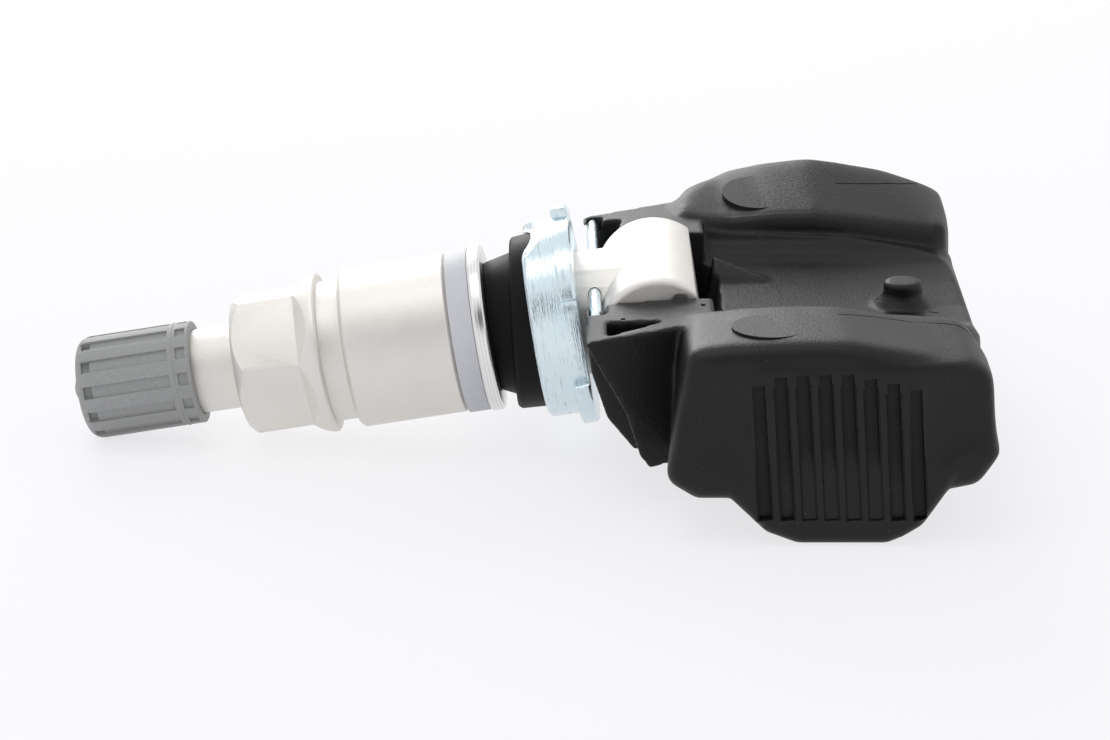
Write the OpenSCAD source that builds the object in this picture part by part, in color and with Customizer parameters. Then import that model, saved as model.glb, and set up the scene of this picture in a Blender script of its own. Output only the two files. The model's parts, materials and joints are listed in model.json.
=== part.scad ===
// Tyre pressure sensor on an angle-adjustable metal valve.
// Millimetres. The origin is the centre of the rim seat on the valve axis.
// +X runs towards the blind end of the housing, +Y across it and +Z up from the table it lies on.

/* [Valve] */
// Angle of the valve below the level of the housing
tilt = 9.3; // [4:0.1:13]
// Diameter of the cross head that the housing pivots on
head_d = 10.6; // [10:0.1:11.2]
// Length of the cross head
head_len = 17; // [15:0.5:18]
// Distance from the pivot to the flat on the back of the head
head_flat = 3.8; // [3:0.1:4.4]
// Radius on the end edges of the head
head_edge = 0.6; // [0.2:0.1:1]
// Diameter of the neck between head and collar
neck_d = 11.2; // [10.8:0.1:11.8]
// Distance from the pivot to the back of the collar
neck_len = 6.7; // [6.5:0.1:8]
// Outer diameter of the stem thread
stem_d = 9.6; // [9:0.1:9.8]
// Diameter of the slim tip that takes the cap
tip_d = 7.7; // [7.4:0.1:8]
// Diameter of the air passage
air_d = 2.4; // [1.6:0.1:3]

/* [Collar and grommet] */
// Diameter of the collar flange
flange_d = 20; // [19:0.1:21]
// Thickness of the collar flange
flange_t = 1.5; // [1:0.1:2]
// Diameter of the collar body
collar_d = 17.9; // [17:0.1:18.4]
// Thickness of the collar body
collar_t = 2.9; // [2:0.1:4]
// Angle that each notch takes of the flange rim
notch_span = 48; // [30:1:54]
// Depth of the cup in the collar's front that holds the grommet
cup_depth = 1.6; // [0.8:0.1:2]
// Outer diameter of the grommet ring
grommet_d = 15.6; // [14.8:0.1:16.4]
// Thickness of the grommet ring
grommet_t = 2.0; // [1.5:0.1:3]
// Largest diameter of the grommet cone that fills the rim hole
cone_d = 12.9; // [12.5:0.1:13.6]
// Smallest diameter of the grommet cone
cone_tip_d = 11.7; // [11.2:0.1:12.4]
// Length of the grommet cone
cone_len = 1.9; // [1.5:0.1:3]

/* [Nut and washer] */
// Diameter of the loose washer
washer_d = 15.2; // [14.6:0.1:16]
// Thickness of the loose washer
washer_t = 1.3; // [1:0.1:2.2]
// Diameter of the slip ring in the back of the nut
slip_d = 14.9; // [14.2:0.1:15.2]
// Thickness of the slip ring
slip_t = 2.0; // [1:0.1:2.4]
// Diameter of the round part of the nut
nut_d = 14.6; // [14:0.1:15]
// Length of the round part of the nut
nut_len = 9.9; // [8:0.1:12]
// Diameter at the bottom of the nut's groove
groove_d = 12.85; // [12:0.1:13.4]
// Width of the nut's groove
groove_w = 2.05; // [1.5:0.05:2.5]
// Distance across the nut's flats
hex_af = 12; // [11:0.5:12.5]
// Length from the groove to the front of the nut
hex_len = 8.15; // [7:0.05:10]
// Gap between the tight nut and the cap
nut_cap_gap = 4; // [3.6:0.1:6]

/* [Cap] */
// Diameter of the cap
cap_d = 9.4; // [9.2:0.1:10.4]
// Length of the cap
cap_len = 10.7; // [10.2:0.1:12]
// Number of grip grooves
grip_count = 12; // [8:1:14]
// Width of a grip groove
grip_w = 1.15; // [0.8:0.05:1.3]
// Depth of a grip groove
grip_depth = 0.3; // [0.15:0.05:0.35]

/* [Cross pin] */
// Diameter of the cross pin
pin_d = 1.1; // [0.8:0.1:1.3]
// Length of the cross pin
pin_len = 25.1; // [24.6:0.1:25.4]
// How far the middle of the cross pin lies towards the far ear
pin_shift = 1.85; // [1.6:0.05:2]
// Distance of the pin from the pivot along the valve
pin_along = 5.2; // [5:0.1:5.5]
// Height of the pin above the valve axis
pin_up = 3.2; // [3:0.1:3.4]
// Tilt of the housing that the pin slots allow upwards
swing_up = 6; // [3:0.5:6]
// Tilt of the housing that the pin slots allow downwards
swing_down = 8; // [4:0.5:8]

/* [Housing] */
// Distance between the inner faces of the two lobes
valley_w = 24; // [23.6:0.1:24.6]
// Width of one lobe
lobe_w = 12.2; // [11.6:0.1:13]
// Distance from the pivot to the far end of the housing
rear_x = 27.4; // [27:0.1:30]
// Height of the near lobe over the pivot at its highest
ridge_z = 5.2; // [4.8:0.1:5.6]
// How much higher the far lobe is than the near one
far_rise = 0.7; // [0:0.1:0.9]
// Distance from the pivot to the highest place of the lobes
ridge_x = 13.5; // [12:0.1:15]
// Depth of the flat underside below the pivot
base_z = 9.2; // [9:0.1:9.6]
// Depth of the feet below the pivot
foot_z = 13.1; // [12.6:0.1:13.5]
// Radius on the edges of the lobes
lobe_edge = 1.5; // [1.2:0.1:1.7]
// Thickness of the housing wall
wall = 1.6; // [1.4:0.1:1.8]
// Thickness of the base cover
cover_t = 1.2; // [0.8:0.1:1.4]
// Number of cooling slots in each outer wall
slot_count = 8; // [4:1:8]
// Distance from one cooling slot to the next
slot_pitch = 1.88; // [1.6:0.02:1.9]
// Width of a cooling slot
slot_w = 1.05; // [0.6:0.05:1.2]
// Lean of the cooling slots
slot_lean = 4.4; // [0:0.1:6]
// Diameter of the peg on the valley floor
peg_d = 3.1; // [2.4:0.1:3.6]

/* [Electronics] */
// Diameter of the coin cell
cell_d = 16; // [15:0.5:16.4]
// Height of the coin cell
cell_h = 3.2; // [2.5:0.1:3.2]
// Thickness of the circuit board
board_t = 1.0; // [0.6:0.1:1]

/* [Hidden] */
$fn = 96;

// Gap of a part that turns or slides on another
run_gap = 0.08;
// Gap of a part that is pushed on or screwed in
seat_gap = 0.05;
// Gap round the loose inner pieces
free_gap = 0.3;
// Overrun of a cut past the face that it opens
cut = 1;

// Stations along the valve, counted from the pivot towards the cap
collar_at = neck_len + flange_t;
ring_at = collar_at + collar_t;
seat_at = ring_at + grommet_t;
washer_at = seat_at + cone_len;
slip_at = washer_at + washer_t;
nut_at = slip_at + slip_t;
groove_at = nut_at + nut_len;
skirt_at = groove_at + groove_w;
nut_end = skirt_at + hex_len;
cap_at = nut_end + nut_cap_gap;
cap_end = cap_at + cap_len;
tip_at = cap_end - 1.9;
shoulder_at = nut_end - 5.4;

// The rim seat is the origin, so the pivot lies at this place
pivot_x = seat_at * cos(tilt);
pivot_z = seat_at * sin(tilt);

// Head, pocket and pin slots
head_r = head_d / 2;
ear_in = head_len / 2 + 0.1;
neck_gap = 0.3;
pin_radius = norm([pin_along, pin_up]);
pin_angle = atan2(pin_up, pin_along) - tilt;
slot_r = pin_d / 2 + 0.12;

// Flats on the neck and on the front of the collar, as heights over the valve axis
neck_flat = 4.95;
cup_bevel = collar_d / 2 - 1.45;
notch_at = [-86, -18, 62, 142];

// Spigot on the back of the nut that carries the slip ring
spigot_r = (slip_d / 2 + stem_d / 2) / 2;

// Valve core
core_r = 2.5;
core_pin_r = 0.45;
core_len = 8;
core_end = tip_at - 1;
core_at = core_end - core_len;
core_wall = 1;
sleeve_at = core_at + 0.8;
sleeve_len = 1.3;
sleeve_r = 2.1;
stop_at = core_end - 1.7;
spring_turns = 5.5;
spring_r = 0.95;
spring_wire = 0.16;
spring_steps = 14;
spring_from = core_at + core_wall + spring_wire;
spring_rise = stop_at - spring_wire - spring_from;

// Housing outline
valley_r = valley_w / 2;
lobe_out = valley_r + lobe_w;
panel_out = lobe_out + 0.4;
front_x = 1.7;
ear_top = 2.9;
floor_z = -0.4;
floor_t = 1.5;
in_rear = rear_x - wall;
in_side = lobe_out - wall - 0.2;
in_inner = valley_r + wall;
mid_front = head_r + run_gap + wall;
lobe_roof = 3.9 - wall;
mid_roof = floor_z - floor_t;
cover_rise = 0.3;
cover_z = -base_z + cover_rise;
foot_in = -foot_z + cover_rise;
foot_a = 11.7;
foot_b = 18.9;
shoulder_a = 6.0;
shoulder_b = 24.6;

// Electronics stack
board_z = cover_z + cover_t;
board_top = board_z + board_t;
tab_t = 0.2;
cell_z = board_top + tab_t;
cell_x = (mid_front + in_rear) / 2;
port_x = 20.5;
port_y = valley_r - 1;
coil_x = 12;
coil_y = -(in_inner + in_side) / 2;

module from_pivot() {
    translate([pivot_x, 0, pivot_z]) children();
}

// Local +Z runs from the pivot to the cap and local +X points up
module on_valve() {
    from_pivot() rotate([0, -(90 + tilt), 0]) children();
}

// Points of a round corner about a centre, from one angle to another
function arc(x, y, r, from, to, steps = 6) = [for (i = [0:steps])
    let (a = from + (to - from) * i / steps) [x + r * cos(a), y + r * sin(a)]];

module turned(points) {
    rotate_extrude() polygon(points);
}

module tube(r_out, r_in, from, len) {
    translate([0, 0, from]) difference() {
        cylinder(r = r_out, h = len);
        translate([0, 0, -cut]) cylinder(r = r_in, h = len + 2 * cut);
    }
}

// Barrel along Y with rounded end edges and a flat milled on its back
module head() {
    half = head_len / 2;
    difference() {
        rotate([90, 0, 0]) turned(concat(
            [[0, -half]],
            arc(head_r - head_edge, -half + head_edge, head_edge, -90, 0),
            arc(head_r - head_edge, half - head_edge, head_edge, 0, 90),
            [[0, half]]));
        translate([-head_d, -head_len, -head_flat - head_d]) cube([2 * head_d, 2 * head_len, head_d]);
    }
}

module valve_stem() {
    color("silver") on_valve() difference() {
        union() {
            head();
            difference() {
                cylinder(d = neck_d, h = neck_len);
                translate([neck_flat, -neck_d, -cut]) cube([neck_d, 2 * neck_d, neck_len + 2 * cut]);
            }
            turned([[0, 0], [stem_d / 2, 0], [stem_d / 2, shoulder_at - 0.8], [tip_d / 2, shoulder_at],
                [tip_d / 2, tip_at - 0.5], [tip_d / 2 - 0.5, tip_at], [0, tip_at]]);
        }
        translate([0, 0, -head_flat - cut]) cylinder(d = air_d, h = tip_at + head_flat + 2 * cut);
        translate([0, 0, core_at - 4]) cylinder(r = core_r - 0.4, h = 4 + cut);
        translate([0, 0, core_at]) cylinder(r = core_r + seat_gap, h = core_len + 2 * cut);
        translate([pin_up, 0, pin_along]) rotate([90, 0, 0])
            cylinder(d = pin_d + 2 * seat_gap, h = head_len + 2 * cut, center = true, $fn = 32);
    }
}

module cross_pin() {
    color("lightblue") on_valve() translate([pin_up, pin_len / 2 + pin_shift, pin_along]) rotate([90, 0, 0])
        turned([[0, 0], [pin_d / 2 - 0.15, 0], [pin_d / 2, 0.15], [pin_d / 2, pin_len - 0.15],
            [pin_d / 2 - 0.15, pin_len], [0, pin_len]]);
}

// Cut that leaves the flange at the size of the collar body over a part of its rim
module notch() {
    h = notch_span / 2;
    translate([0, 0, neck_len - cut]) difference() {
        linear_extrude(flange_t + cut) polygon([[0, 0], flange_d * [cos(h), -sin(h)], [1.2 * flange_d, 0],
            flange_d * [cos(h), sin(h)]]);
        translate([0, 0, -cut]) cylinder(r = collar_d / 2 + 0.25, h = flange_t + 3 * cut);
    }
}

// Zinc plated clamp collar: a notched flange behind and a cup in front, bevelled on top
module clamp_collar() {
    color("lightsteelblue") on_valve() difference() {
        union() {
            turned([[0, neck_len], [flange_d / 2 - 0.2, neck_len], [flange_d / 2, neck_len + 0.2],
                [flange_d / 2, collar_at - 0.2], [flange_d / 2 - 0.2, collar_at], [0, collar_at]]);
            turned([[0, neck_len], [collar_d / 2, neck_len], [collar_d / 2, ring_at - 0.3],
                [collar_d / 2 - 0.3, ring_at], [0, ring_at]]);
        }
        translate([0, 0, neck_len - cut])
            cylinder(d = stem_d + 2 * seat_gap, h = ring_at - neck_len + 2 * cut);
        translate([0, 0, ring_at - cup_depth])
            cylinder(r = grommet_d / 2 + 0.2 + seat_gap, h = cup_depth + cut);
        for (a = notch_at) rotate([0, 0, a]) notch();
        rotate([90, 0, 0]) translate([0, 0, -flange_d]) linear_extrude(2 * flange_d)
            polygon([[cup_bevel, ring_at + cut], [cup_bevel, ring_at], [cup_bevel + 1.25, ring_at - 2],
                [flange_d, ring_at - 2], [flange_d, ring_at + cut]]);
    }
}

module rubber_grommet() {
    bore_r = stem_d / 2 + seat_gap;
    out_r = grommet_d / 2;
    back = ring_at - cup_depth;
    color("#202022") on_valve() turned([[bore_r, back], [out_r + 0.2, back], [out_r, seat_at - 0.3],
        [out_r - 0.3, seat_at], [cone_d / 2, seat_at], [cone_tip_d / 2, washer_at], [bore_r, washer_at]]);
}

// Loose washer with a turned rim
module nut_washer() {
    out_r = washer_d / 2;
    color("gainsboro") on_valve() turned([[stem_d / 2 + run_gap, washer_at], [out_r - 0.2, washer_at],
        [out_r, washer_at + 0.2], [out_r, slip_at - 0.2], [out_r - 0.2, slip_at],
        [stem_d / 2 + run_gap, slip_at]]);
}

module slip_ring() {
    color("#8f939d") on_valve() tube(slip_d / 2, spigot_r + run_gap, slip_at, slip_t - 0.02);
}

// Long union nut: round body, groove, flared skirt and a hexagon whose flats run out up a ramp
module union_nut() {
    r = nut_d / 2;
    skirt_r = r + 0.05;
    corner_r = hex_af / 2 / cos(30) - 0.06;
    ramp_at = skirt_at + 2.4;
    flat_at = ramp_at - 0.35;
    color("#d8d5d0") on_valve() difference() {
        turned([[stem_d / 2 + run_gap, slip_at], [spigot_r, slip_at], [spigot_r, nut_at], [r - 0.3, nut_at],
            [r, nut_at + 0.3], [r, groove_at - 0.35], [r - 0.35, groove_at], [groove_d / 2, groove_at],
            [groove_d / 2, skirt_at], [skirt_r - 0.2, skirt_at], [skirt_r, skirt_at + 0.2],
            [skirt_r, skirt_at + 0.5], [corner_r, ramp_at], [corner_r, nut_end - 1.1],
            [hex_af / 2 - 0.1, nut_end - 0.15], [hex_af / 2 - 0.5, nut_end], [tip_d / 2 + 0.15, nut_end],
            [tip_d / 2 + 0.15, shoulder_at + 0.6], [stem_d / 2 + run_gap, shoulder_at + 0.6]]);
        for (i = [0:5]) rotate([0, 0, 60 * i + 13.5]) rotate([90, 0, 0]) translate([0, 0, -hex_af])
            linear_extrude(2 * hex_af) polygon([[hex_af / 2, flat_at], [hex_af / 2, nut_end + cut],
                [hex_af, nut_end + cut], [hex_af, flat_at - 5.4], [hex_af / 2 + 1.5, flat_at - 1.35]]);
    }
}

// Ribbed plastic dust cap with a domed nub on its end
module valve_cap() {
    r = cap_d / 2;
    color("#77797a") on_valve() difference() {
        union() {
            turned(concat([[tip_d / 2 + run_gap, cap_at], [r - 0.1, cap_at], [r, cap_at + 0.1],
                [r, cap_at + 1.5], [r + 0.06, cap_at + 1.55], [r, cap_at + 1.6]],
                arc(r - 1.2, cap_end - 1.2, 1.2, 0, 90), [[0, cap_end], [0, tip_at + 0.8],
                [tip_d / 2 + run_gap, tip_at + 0.8]]));
            intersection() {
                translate([0, 0, cap_end - 1.1]) sphere(r = 2.0, $fn = 48);
                translate([0, 0, cap_end - 0.5]) cylinder(r = 1.9, h = 2);
            }
        }
        for (i = [0:grip_count - 1]) rotate([0, 0, (i + 0.5) * 360 / grip_count]) {
            translate([r - grip_depth, -grip_w / 2, cap_at + 2]) cube([1, grip_w, cap_len]);
            translate([r - 2.4 * grip_depth, -grip_w / 2, cap_end - 1.5]) cube([1, grip_w, 0.8]);
            translate([r - grip_depth, -grip_w / 2, cap_at + 0.35]) cube([1, grip_w, 0.9]);
        }
    }
}

module cap_seal() {
    color("#303032") on_valve() tube(tip_d / 2 - 0.2, core_r + 0.2, tip_at, 0.78);
}

module valve_core_body() {
    color("goldenrod") on_valve() difference() {
        turned([[core_pin_r + run_gap, core_at], [sleeve_r, core_at], [sleeve_r, sleeve_at + sleeve_len],
            [core_r, sleeve_at + sleeve_len], [core_r, core_end], [core_pin_r + run_gap, core_end]]);
        translate([0, 0, core_at + core_wall]) cylinder(r = core_r - 1, h = core_len - 2 * core_wall);
    }
}

module valve_core_sleeve() {
    color("white") on_valve() tube(core_r, sleeve_r, sleeve_at, sleeve_len);
}

module valve_core_pin() {
    color("khaki") on_valve() turned([[0, core_at - 1.8], [core_pin_r, core_at - 1.8],
        [core_pin_r, core_at - 1.2], [1.6, core_at - 1.2], [1.6, core_at - 0.6],
        [core_pin_r, core_at - 0.6], [core_pin_r, stop_at],
        [1.25, stop_at], [1.25, stop_at + 0.4], [core_pin_r, stop_at + 0.4], [core_pin_r, tip_at - 0.25],
        [core_pin_r - 0.15, tip_at - 0.1], [0, tip_at - 0.1]]);
}

module valve_core_seal() {
    color("#26262a") on_valve() tube(1.5, core_pin_r + 0.02, core_at - 0.6, 0.6);
}

// Points round the wire of a helical spring, one ring of eight for each step
function spring_ring(i) = let (a = 360 * i / spring_steps, f = i / (spring_turns * spring_steps))
    [for (k = [0:7]) let (r = spring_r + spring_wire * cos(45 * k))
        [r * cos(a), r * sin(a), spring_from + spring_rise * f + spring_wire * sin(45 * k)]];

module valve_core_spring() {
    last = round(spring_turns * spring_steps);
    sides = [for (i = [0:last - 1]) for (k = [0:7])
        [8 * i + k, 8 * i + (k + 1) % 8, 8 * i + 8 + (k + 1) % 8, 8 * i + 8 + k]];
    ends = [[for (k = [7:-1:0]) k], [for (k = [0:7]) 8 * last + k]];
    color("gray") on_valve()
        polyhedron([for (i = [0:last]) each spring_ring(i)], concat(sides, ends));
}

// Crest of a lobe as places along it and drops from its highest place
function crest(s) = [[7.6, s > 0 ? 0.5 : 0.2], [ridge_x - 2.5, s > 0 ? 0.05 : 0.03], [ridge_x + 1.5, 0.03],
    [ridge_x + 4.5, 0.55], [ridge_x + 8, s > 0 ? 1.5 : 1.2]];

// One lobe: a rounded block, flared at the bottom, with the slotted bulge that ends in the foot
module lobe(s) {
    e = lobe_edge;
    yo = lobe_out - e;
    yi = valley_r + e;
    top = ridge_z + (s > 0 ? far_rise : 0);
    corner = s > 0 ? [[front_x + e, yo - 6.6, 4.2 - e], [front_x + 1.4 + e, yo - 3.2, 4.3 - e],
        [front_x + 3.4 + e, yo - 1.0, 4.5 - e], [front_x + 5.4 + e, yo, 4.9 - e]] :
        [[front_x + e, yo, 4.6 - e], [front_x + 2.4 + e, yo, 4.9 - e]];
    hull() for (p = concat(corner, [for (c = crest(s)) [c[0], yo, top - c[1] - e]],
        [for (c = crest(s)) [c[0], yi, ridge_z - 0.5 - c[1] - e]],
        [[rear_x - 1.1 - e, yo - 0.5, 3.0 - e], [front_x + e, yi, 4.0 - e], [rear_x - 0.6 - e, yi, 2.6 - e],
        [front_x - 1.4 + e, yo, -6.8], [front_x + e, yo, -base_z + e], [rear_x + 1.2 - e, yo, -6.4],
        [rear_x + 0.2 - e, yo, -base_z + e], [rear_x + 0.3 - e, yo, 0.6], [front_x + e, yi, -base_z + e],
        [rear_x - e, yi, -base_z + e], [rear_x + 0.4 - e, (yo + yi) / 2, 0.4]]))
        translate([p[0], s * p[1], p[2]]) sphere(r = e, $fn = 20);
    b = lobe_edge - 0.3;
    hull() for (p = [[8.2, 1.6], [21.8, 1.4], [shoulder_a + 0.4, -base_z + b],
        [shoulder_b - 0.3, -base_z + 1.2 + b], [9.4, -11.0], [21.4, -10.8],
        [foot_a, -foot_z + b], [foot_b, -foot_z + b]])
        for (y = [valley_r + 1.6 + b, panel_out - b])
            translate([p[0], s * y, p[1]]) sphere(r = b, $fn = 16);
}

// Ear beside the head, cut to a wedge below and leaning in towards the lobe
module ear(s) {
    intersection() {
        rotate([90, 0, 0]) translate([0, 0, -lobe_out]) linear_extrude(2 * lobe_out)
            polygon([[-6.6, ear_top - 0.2], [-3.0, -4.2], [-1.8, -8.2], [-0.9, -base_z - 0.3],
                [0.3, -base_z], [front_x + 3, -base_z], [front_x + 3, 3.6], [front_x, 3.6],
                [-6.2, ear_top]]);
        translate([0, 0, -20]) linear_extrude(40)
            polygon(concat([[-8, s * ear_in], [front_x + 3, s * ear_in]], s > 0 ?
                [[front_x + 3, 17.6], [front_x, 17.5], [-6.9, 15.1], [-8, 14.9]] :
                [[front_x + 3, -16], [front_x, -15.6], [-6.9, -17.8], [-8, -17.6]]));
    }
}

// Block between the lobes with the low wall under the neck
module middle() {
    rotate([90, 0, 0]) translate([0, 0, -valley_r - 0.8]) linear_extrude(2 * valley_r + 1.6)
        polygon([[-6.6, ear_top - 0.4], [-6.0, -2], [-4.6, -6.2], [-2.2, -base_z], [rear_x - 0.6, -base_z],
            [rear_x, -base_z + 0.8], [rear_x, -1.6], [rear_x - 0.25, -0.5], [rear_x - 0.8, 0.3],
            [rear_x - 1.7, 0.8], [rear_x - 3, 1.1], [rear_x - 9, 2.2], [front_x + 4, 2.8], [front_x, 3.6],
            [-6.2, ear_top - 0.1]]);
}

// Trough between the lobes, a shallow V that curves up into the walls
module valley() {
    half = [[0, floor_z], [valley_r * 0.45, floor_z + 0.35], [valley_r - 3.0, 0.45], [valley_r - 1.6, 1.0],
        [valley_r - 0.6, 2.0], [valley_r - 0.1, 3.4], [valley_r, 9]];
    translate([front_x + 3, 0, 0]) rotate([90, 0, 90]) linear_extrude(40)
        polygon(concat([for (i = [6:-1:1]) [-half[i][0], half[i][1]]], half));
}

// Low ridge that runs from the saddle into the valley on the far side
module ridge() {
    hull() for (p = [[head_r + 0.4, 7.6, 0.9], [head_r + 0.4, 6.0, 0.0], [10.2, 5.6, -0.3]])
        translate(p) sphere(r = 0.6, $fn = 16);
}

// Arc slot in both ears for the ends of the cross pin
module pin_slots() {
    from = 180 - pin_angle - swing_up;
    to = 180 - pin_angle + swing_down;
    for (s = [-1, 1]) translate([0, s * (ear_in - cut), 0]) rotate([90, 0, 0])
        mirror([0, 0, s > 0 ? 1 : 0]) {
            deep = pin_len / 2 + s * pin_shift + free_gap - ear_in + cut;
            linear_extrude(deep) intersection() {
                difference() {
                    circle(r = pin_radius + slot_r);
                    circle(r = pin_radius - slot_r);
                }
                polygon([[0, 0], 12 * [cos(from), sin(from)], 12 * [cos(to), sin(to)]]);
            }
            for (a = [from, to]) translate(pin_radius * [cos(a), sin(a), 0])
                cylinder(r = slot_r, h = deep, $fn = 32);
        }
}

module cavity() {
    for (y = [in_inner, -in_side])
        translate([mid_front, y, -foot_z - cut])
            cube([in_rear - mid_front, in_side - in_inner, foot_z + lobe_roof + cut]);
    translate([mid_front, -in_side, -foot_z - cut])
        cube([in_rear - mid_front, 2 * in_side, foot_z + mid_roof + cut]);
}

// Saddle for the head with room for the thicker neck between its lands
module saddle() {
    rotate([90, 0, 0]) {
        cylinder(r = head_r + run_gap, h = 2 * ear_in, center = true);
        cylinder(d = neck_d + 2 * neck_gap, h = neck_d + 2 * neck_gap, center = true);
    }
    translate([-20, -ear_in, 0]) cube([20 + head_r + run_gap, 2 * ear_in, 10]);
    translate([-20, -neck_d / 2 - neck_gap, -neck_d / 2 - 1.7]) cube([20, neck_d + 2 * neck_gap, 20]);
    translate([-20, -ear_in, -2.4]) cube([20 - 1.8, 2 * ear_in, 10]);
}

// One slot that runs out to nothing at the top of the panel
module cooling_slot() {
    back = lobe_out - 0.9;
    rotate([90, 0, 90]) translate([0, 0, -slot_w / 2]) linear_extrude(slot_w)
        polygon([[panel_out + cut, 7.2], [lobe_out + 0.1, 6.9], [back + 0.5, 6.2], [back + 0.15, 5.2],
            [back, 4], [back, -5], [back + 0.3, -6.4], [panel_out + cut, -6.4]]);
}

module cooling_slots() {
    for (s = [-1, 1]) for (i = [0:slot_count - 1])
        translate([14.5 + (i - (slot_count - 1) / 2) * slot_pitch, 0, -4.2])
            rotate([0, -slot_lean, 0]) mirror([0, s < 0 ? 1 : 0, 0]) cooling_slot();
}

// Shallow dishes beside the slotted panel
module dishes() {
    for (s = [-1, 1]) for (p = [[4.6, -2.6], [25.2, -1.6]])
        translate([p[0], s * (lobe_out - 0.7 + 12), p[1]]) sphere(r = 12, $fn = 64);
}

// Shallow recess on the near ear, and on the far one the open pocket that shows the pin
module ear_recesses() {
    translate([0, 0, ear_top - 1.6]) linear_extrude(5)
        polygon([[-4.7, -13.0], [0.4, -13.7], [-4.4, -16.2], [-4.7, -16.2]]);
    translate([0, 0, -2.4]) linear_extrude(20)
        polygon([[-8, 8], [-3.8, 8], [-2.9, 13.5], [-8, 13.7]]);
}

module peg() {
    translate([22, 0.2, floor_z - 0.4]) turned([[0, 0], [peg_d / 2 + 1.2, 0], [peg_d / 2, 1.5],
        [peg_d / 2, 2.6], [peg_d / 2 - 0.2, 2.8], [0, 2.8]]);
}

// Small posts on the ears that stand in front of the ends of the head
module posts() {
    for (s = [-1, 1]) translate([1.2, s > 0 ? ear_in : -ear_in - 0.9, 0]) cube([1.2, 0.9, ear_top + 1.1]);
}

module housing_shell() {
    color("#26262a") from_pivot() difference() {
        union() {
            for (s = [-1, 1]) lobe(s);
            for (s = [-1, 1]) ear(s);
            difference() {
                middle();
                valley();
            }
            posts();
            peg();
            ridge();
        }
        cavity();
        saddle();
        pin_slots();
        cooling_slots();
        dishes();
        ear_recesses();
    }
}

// Inset cover that closes the underside and follows the two feet
module base_cover() {
    g = seat_gap;
    from = mid_front + g;
    first = lookup(from, [[shoulder_a, cover_z], [foot_a, foot_in]]);
    color("#2c2c30") from_pivot() difference() {
        union() {
            for (s = [-1, 1]) translate([0, s > 0 ? in_side - g : -in_inner - g, 0])
                rotate([90, 0, 0]) linear_extrude(in_side - in_inner - 2 * g)
                    polygon([[from, first], [foot_a, foot_in], [foot_b, foot_in],
                        [shoulder_b, cover_z], [in_rear - g, cover_z], [in_rear - g, board_z],
                        [shoulder_b + 0.4, board_z], [foot_b + 0.4, foot_in + cover_t],
                        [foot_a + 0.2, foot_in + cover_t], [from + 2.4, board_z], [from, board_z]]);
            translate([mid_front + g, -in_inner - 2 * g, cover_z])
                cube([in_rear - mid_front - 2 * g, 2 * in_inner + 4 * g, cover_t]);
        }
        translate([port_x, port_y, cover_z - cut]) cylinder(r = 0.8, h = cover_t + 2 * cut, $fn = 32);
        translate([port_x, port_y, board_z - 0.4]) cylinder(r = 2, h = 1, $fn = 48);
    }
}

module port_filter() {
    color("white") from_pivot() translate([port_x, port_y, board_z - 0.4])
        cylinder(r = 2 - seat_gap, h = 0.4, $fn = 48);
}

module circuit_board() {
    g = free_gap;
    color("darkgreen") from_pivot() difference() {
        translate([mid_front + g, -in_side + g, board_z])
            cube([in_rear - mid_front - 2 * g, 2 * (in_side - g), board_t]);
        translate([port_x, port_y, board_z - cut]) cylinder(r = 0.7, h = board_t + 2 * cut, $fn = 32);
    }
}

module coin_cell() {
    r = cell_d / 2;
    color("silver") from_pivot() translate([cell_x, 0, cell_z]) turned([[0, 0], [r - 1, 0], [r - 1, 0.4],
        [r - 0.3, 0.5], [r, 0.8], [r, cell_h - 0.3], [r - 0.3, cell_h], [0, cell_h]]);
}

module cell_tab_lower() {
    color("gainsboro") from_pivot() translate([cell_x - 3, -2, board_top]) cube([9, 4, tab_t]);
}

// Strip over the cell with a leg down to the board beside it
module cell_tab_upper() {
    top = cell_z + cell_h;
    side = cell_d / 2 + 0.6;
    color("gainsboro") from_pivot() union() {
        translate([cell_x - 2, -4, top]) cube([4, side + 4 + tab_t, tab_t]);
        translate([cell_x - 2, side, board_top]) cube([4, tab_t, top + tab_t - board_top]);
        translate([cell_x - 2, side, board_top]) cube([4, 1.2, tab_t]);
    }
}

module pressure_chip() {
    color("#1c1c20") from_pivot() difference() {
        translate([port_x - 2.5, port_y - 1.2, board_top]) cube([5, 5, 1.8]);
        translate([port_x, port_y, board_top - cut]) cylinder(r = 0.5, h = 1 + cut, $fn = 24);
    }
}

// Bent strip that stands on the board in the far lobe
module radio_antenna() {
    y = (in_inner + in_side) / 2 + 1.4;
    from = mid_front + 1.4;
    to = in_rear - 5.6;
    top = lobe_roof - 1.2;
    color("#b8a070") from_pivot() translate([0, y, 0]) {
        translate([from, 0, board_top]) cube([tab_t, 2.4, top - board_top]);
        translate([to, 0, board_top]) cube([tab_t, 2.4, top - board_top]);
        translate([from, 0, top]) cube([to - from + tab_t, 2.4, tab_t]);
    }
}

module wake_coil_core() {
    color("#3a3a3e") from_pivot() translate([coil_x, coil_y, board_top]) {
        for (x = [0, 9.5]) translate([x, -1.8, 0]) cube([1.5, 3.6, 3.2]);
        translate([1.4, -0.9, 0.8]) cube([8.2, 1.8, 1.6]);
    }
}

module wake_coil_winding() {
    color("#a8562c") from_pivot() translate([coil_x + 1.6, coil_y, board_top + 1.6]) rotate([0, 90, 0])
        tube(1.55, 1.25, 0, 7.8);
}

module quartz_crystal() {
    color("#c8c8c4") from_pivot() translate([coil_x - 3.6, coil_y - 1.6, board_top]) cube([2.5, 3.2, 0.8]);
}

module buffer_capacitor() {
    color("#c8a23c") from_pivot() translate([in_rear - 3.6, -coil_y - 1.7, board_top]) cube([2.8, 3.5, 1.9]);
}

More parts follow.
